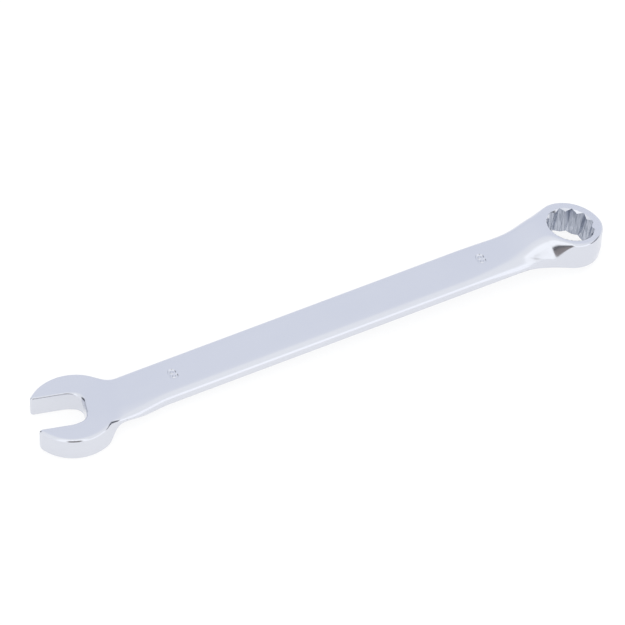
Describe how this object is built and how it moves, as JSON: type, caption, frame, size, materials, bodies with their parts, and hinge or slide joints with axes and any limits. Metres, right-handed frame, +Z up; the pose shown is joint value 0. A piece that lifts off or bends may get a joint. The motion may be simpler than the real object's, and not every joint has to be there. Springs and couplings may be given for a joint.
{
  "type": "combination wrench",
  "caption": "Slim combination wrench: an angled open jaw at one end and a tilted twelve-point ring at the other, both for the same size of nut.",
  "frame": {"origin": "on the bench, under the middle of the wrench's outer box, with the wrench lying on its prong tips and the ring's far rim", "axes": "+X along the shank from the open jaw to the ring, +Y across the shank, +Z up from the bench"},
  "size_m": [0.1192, 0.018, 0.0085],
  "materials": {
    "chrome_plate": "bright polished chrome plate on forged steel"
  },
  "bodies": {
    "root": {"wrench": "chrome_plate"}
  },
  "joints": []
}
